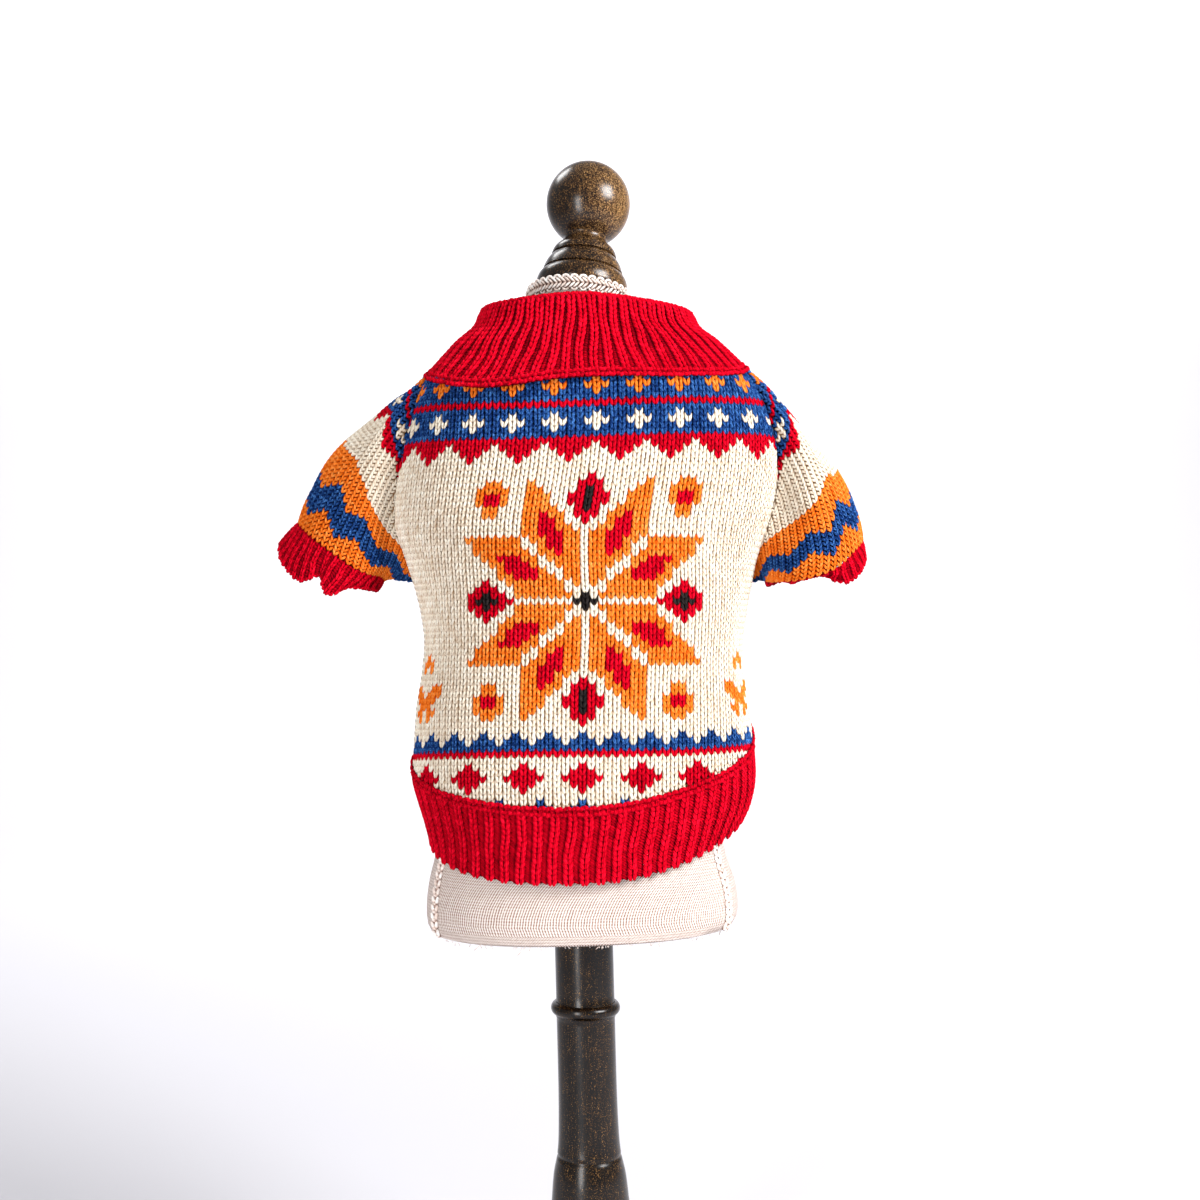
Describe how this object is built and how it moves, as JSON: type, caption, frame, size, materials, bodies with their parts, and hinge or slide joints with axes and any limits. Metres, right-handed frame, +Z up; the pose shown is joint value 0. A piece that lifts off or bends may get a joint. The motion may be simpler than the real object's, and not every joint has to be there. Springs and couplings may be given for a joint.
{
  "type": "knitted dog sweater on a limbless dress form with a turned wooden stand",
  "caption": "Short-sleeved raglan knitted dog sweater with a ribbed funnel collar, cuffs and sloping hem, worn on a linen dress form on a turned wooden stand.",
  "frame": {"origin": "centre of the base's underside, on the surface that the stand rests on", "axes": "+Z up along the post, -Y towards the viewer and out of the decorated panel, +X towards the sleeve at the viewer's right"},
  "size_m": [0.3851, 0.22, 0.7851],
  "materials": {
    "cream_knit": "stocking-stitch acrylic knit with charted colours",
    "red_rib": "ribbed acrylic knit",
    "linen": "coarse plain-weave linen",
    "cotton_gimp": "braided cotton",
    "dark_wood": "semi-gloss dark stain with rubbed bronze wear"
  },
  "bodies": {
    "root": {"back_panel": "cream_knit", "belly_panel": "cream_knit", "sleeve_left": "cream_knit", "sleeve_right": "cream_knit", "cuff_left": "red_rib", "cuff_right": "red_rib", "collar": "red_rib", "hem_band": "red_rib", "torso_form": "linen", "neck_braid": "cotton_gimp", "side_braid_left": "cotton_gimp", "side_braid_right": "cotton_gimp", "finial": "dark_wood", "post": "dark_wood", "base_disc": "dark_wood"}
  },
  "joints": []
}
